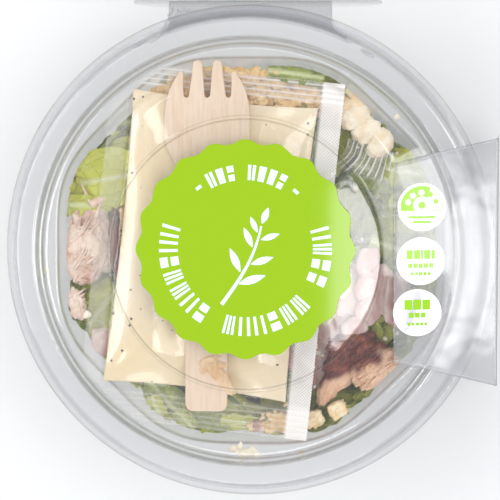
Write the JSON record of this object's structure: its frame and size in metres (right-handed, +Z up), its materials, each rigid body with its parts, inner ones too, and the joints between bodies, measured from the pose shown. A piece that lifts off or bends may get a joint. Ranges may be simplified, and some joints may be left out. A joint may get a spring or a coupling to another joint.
{
  "type": "packed chicken caesar salad bowl",
  "caption": "Shut clear plastic salad bowl with domed lid, round and strap labels, holding a dressing sachet, wooden fork, chicken, bacon, croutons and leaves.",
  "frame": {"origin": "centre of the bowl's flat underside", "axes": "+Z up, +Y towards the hinge's tear strip, +X towards the strap label"},
  "size_m": [0.191, 0.1924, 0.0666],
  "materials": {
    "clear_plastic": "clear thermoformed plastic sheet, polished",
    "green_label": "satin lime green paper label with plain pale marks",
    "strap_film": "clear self-adhesive film with white and green round badges",
    "birch": "pressed pale birch, unvarnished",
    "dressing": "clear film over cream dressing with pepper specks",
    "topping_film": "clear crinkled film over pink toppings",
    "chicken": "roast chicken meat, moist, browned at the skin",
    "bacon": "cooked bacon, moist",
    "crouton": "toasted bread, dry and porous",
    "leaves": "fresh cos lettuce leaves and cut pieces"
  },
  "bodies": {
    "root": {"bowl": "clear_plastic", "lid": "clear_plastic", "tear_strip": "clear_plastic", "label_round": "green_label", "label_strap": "strap_film", "fork": "birch", "dressing_sachet": "dressing", "topping_bag": "topping_film", "chicken_left": "chicken", "chicken_tail": "chicken", "chicken_right": "chicken", "bacon_left": "bacon", "bacon_right": "bacon", "bacon_bottom": "bacon", "crouton_gold": "crouton", "crouton_pale_a": "crouton", "crouton_pale_b": "crouton", "crouton_top_a": "crouton", "crouton_top_b": "crouton", "crouton_upper_right": "crouton", "salad_bed": "leaves"}
  },
  "joints": []
}
